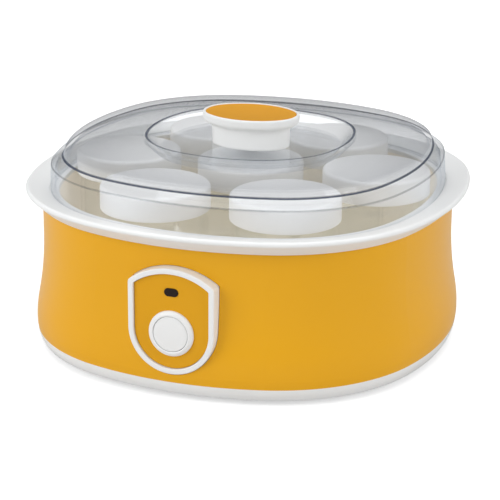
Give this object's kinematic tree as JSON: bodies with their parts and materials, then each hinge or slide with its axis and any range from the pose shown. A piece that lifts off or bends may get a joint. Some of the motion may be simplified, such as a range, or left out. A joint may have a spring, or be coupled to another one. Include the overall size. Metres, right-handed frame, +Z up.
{
  "type": "yogurt maker",
  "caption": "Rounded-square yogurt maker: flared body, clear lift-off lid with an oval knob, capped glass jars in a warmed tub and a shield-shaped panel with a push button.",
  "frame": {"origin": "on the table, under the middle of the rounded-square plan", "axes": "+Z up, -Y towards the user (control panel), +X to the user's right"},
  "size_m": [0.2532, 0.2532, 0.1326],
  "materials": {
    "body_yellow": "glossy warm yellow moulding",
    "panel_yellow": "glossy warm yellow moulding",
    "white_plastic": "satin off-white moulding",
    "cap_white": "fine matte off-white moulding",
    "tub_plastic": "fine matte warm grey moulding",
    "foot_rubber": "matte",
    "screw_steel": "plain zinc",
    "plate_aluminium": "rolled",
    "heater_silicone": "matte",
    "inner_black": "matte",
    "gland_grey": "matte",
    "board_green": "lacquered board",
    "lens_dark": "dark clear lens",
    "lid_clear": "clear, lightly smoked",
    "knob_orange": "glossy orange inlay",
    "jar_glass": "clear pressed glass"
  },
  "bodies": {
    "base": {"outer_shell": "body_yellow", "top_rim": "white_plastic", "inner_tub": "tub_plastic", "base_pan": "white_plastic", "rubber_feet": "foot_rubber", "base_screws": "screw_steel", "heater_plate": "plate_aluminium", "heater_pad": "heater_silicone", "heater_clamp": "screw_steel", "heater_screws": "screw_steel", "thermostat": "inner_black", "thermal_fuse": "screw_steel", "cord_gland": "gland_grey", "terminal_block": "inner_black", "control_frame": "white_plastic", "control_panel": "panel_yellow", "button_bezel": "white_plastic", "switch_block": "inner_black", "control_board": "board_green", "board_screws": "screw_steel", "indicator_lamp": "lens_dark", "indicator_lens": "lens_dark"},
    "lid": {"lid_dome": "lid_clear", "knob_body": "white_plastic", "knob_cap": "knob_orange", "knob_screw": "screw_steel"},
    "button": {"power_button": "white_plastic", "switch_plunger": "inner_black"},
    "jar_1_body": {"jar_1": "jar_glass"},
    "cap_1_body": {"jar_cap_1": "cap_white"},
    "jar_2_body": {"jar_2": "jar_glass"},
    "cap_2_body": {"jar_cap_2": "cap_white"},
    "jar_3_body": {"jar_3": "jar_glass"},
    "cap_3_body": {"jar_cap_3": "cap_white"},
    "jar_4_body": {"jar_4": "jar_glass"},
    "cap_4_body": {"jar_cap_4": "cap_white"},
    "jar_5_body": {"jar_5": "jar_glass"},
    "cap_5_body": {"jar_cap_5": "cap_white"},
    "jar_6_body": {"jar_6": "jar_glass"},
    "cap_6_body": {"jar_cap_6": "cap_white"},
    "jar_7_body": {"jar_7": "jar_glass"},
    "cap_7_body": {"jar_cap_7": "cap_white"}
  },
  "joints": [
    {"name": "lid_lift", "type": "slide", "parent": "base", "child": "lid", "axis": [0, 0, 1], "range_m": [0, 0.22]},
    {"name": "button_press", "type": "slide", "parent": "base", "child": "button", "axis": [0, 1, 0], "range_m": [0, 0.002], "stiffness_N_per_m": 900},
    {"name": "jar_1_lift", "type": "slide", "parent": "base", "child": "jar_1_body", "axis": [0, 0, 1], "range_m": [0, 0.111]},
    {"name": "cap_1_lift", "type": "slide", "parent": "jar_1_body", "child": "cap_1_body", "axis": [0, 0, 1], "range_m": [0, 0.034]},
    {"name": "jar_2_lift", "type": "slide", "parent": "base", "child": "jar_2_body", "axis": [0, 0, 1], "range_m": [0, 0.111]},
    {"name": "cap_2_lift", "type": "slide", "parent": "jar_2_body", "child": "cap_2_body", "axis": [0, 0, 1], "range_m": [0, 0.034]},
    {"name": "jar_3_lift", "type": "slide", "parent": "base", "child": "jar_3_body", "axis": [0, 0, 1], "range_m": [0, 0.111]},
    {"name": "cap_3_lift", "type": "slide", "parent": "jar_3_body", "child": "cap_3_body", "axis": [0, 0, 1], "range_m": [0, 0.034]},
    {"name": "jar_4_lift", "type": "slide", "parent": "base", "child": "jar_4_body", "axis": [0, 0, 1], "range_m": [0, 0.111]},
    {"name": "cap_4_lift", "type": "slide", "parent": "jar_4_body", "child": "cap_4_body", "axis": [0, 0, 1], "range_m": [0, 0.034]},
    {"name": "jar_5_lift", "type": "slide", "parent": "base", "child": "jar_5_body", "axis": [0, 0, 1], "range_m": [0, 0.111]},
    {"name": "cap_5_lift", "type": "slide", "parent": "jar_5_body", "child": "cap_5_body", "axis": [0, 0, 1], "range_m": [0, 0.034]},
    {"name": "jar_6_lift", "type": "slide", "parent": "base", "child": "jar_6_body", "axis": [0, 0, 1], "range_m": [0, 0.111]},
    {"name": "cap_6_lift", "type": "slide", "parent": "jar_6_body", "child": "cap_6_body", "axis": [0, 0, 1], "range_m": [0, 0.034]},
    {"name": "jar_7_lift", "type": "slide", "parent": "base", "child": "jar_7_body", "axis": [0, 0, 1], "range_m": [0, 0.111]},
    {"name": "cap_7_lift", "type": "slide", "parent": "jar_7_body", "child": "cap_7_body", "axis": [0, 0, 1], "range_m": [0, 0.034]}
  ],
  "couplings": [
    {"joint": "jar_1_lift", "follows": "lid_lift", "ratio": 0.5},
    {"joint": "cap_1_lift", "follows": "lid_lift", "ratio": 0.15},
    {"joint": "jar_2_lift", "follows": "lid_lift", "ratio": 0.5},
    {"joint": "cap_2_lift", "follows": "lid_lift", "ratio": 0.15},
    {"joint": "jar_3_lift", "follows": "lid_lift", "ratio": 0.5},
    {"joint": "cap_3_lift", "follows": "lid_lift", "ratio": 0.15},
    {"joint": "jar_4_lift", "follows": "lid_lift", "ratio": 0.5},
    {"joint": "cap_4_lift", "follows": "lid_lift", "ratio": 0.15},
    {"joint": "jar_5_lift", "follows": "lid_lift", "ratio": 0.5},
    {"joint": "cap_5_lift", "follows": "lid_lift", "ratio": 0.15},
    {"joint": "jar_6_lift", "follows": "lid_lift", "ratio": 0.5},
    {"joint": "cap_6_lift", "follows": "lid_lift", "ratio": 0.15},
    {"joint": "jar_7_lift", "follows": "lid_lift", "ratio": 0.5},
    {"joint": "cap_7_lift", "follows": "lid_lift", "ratio": 0.15}
  ]
}
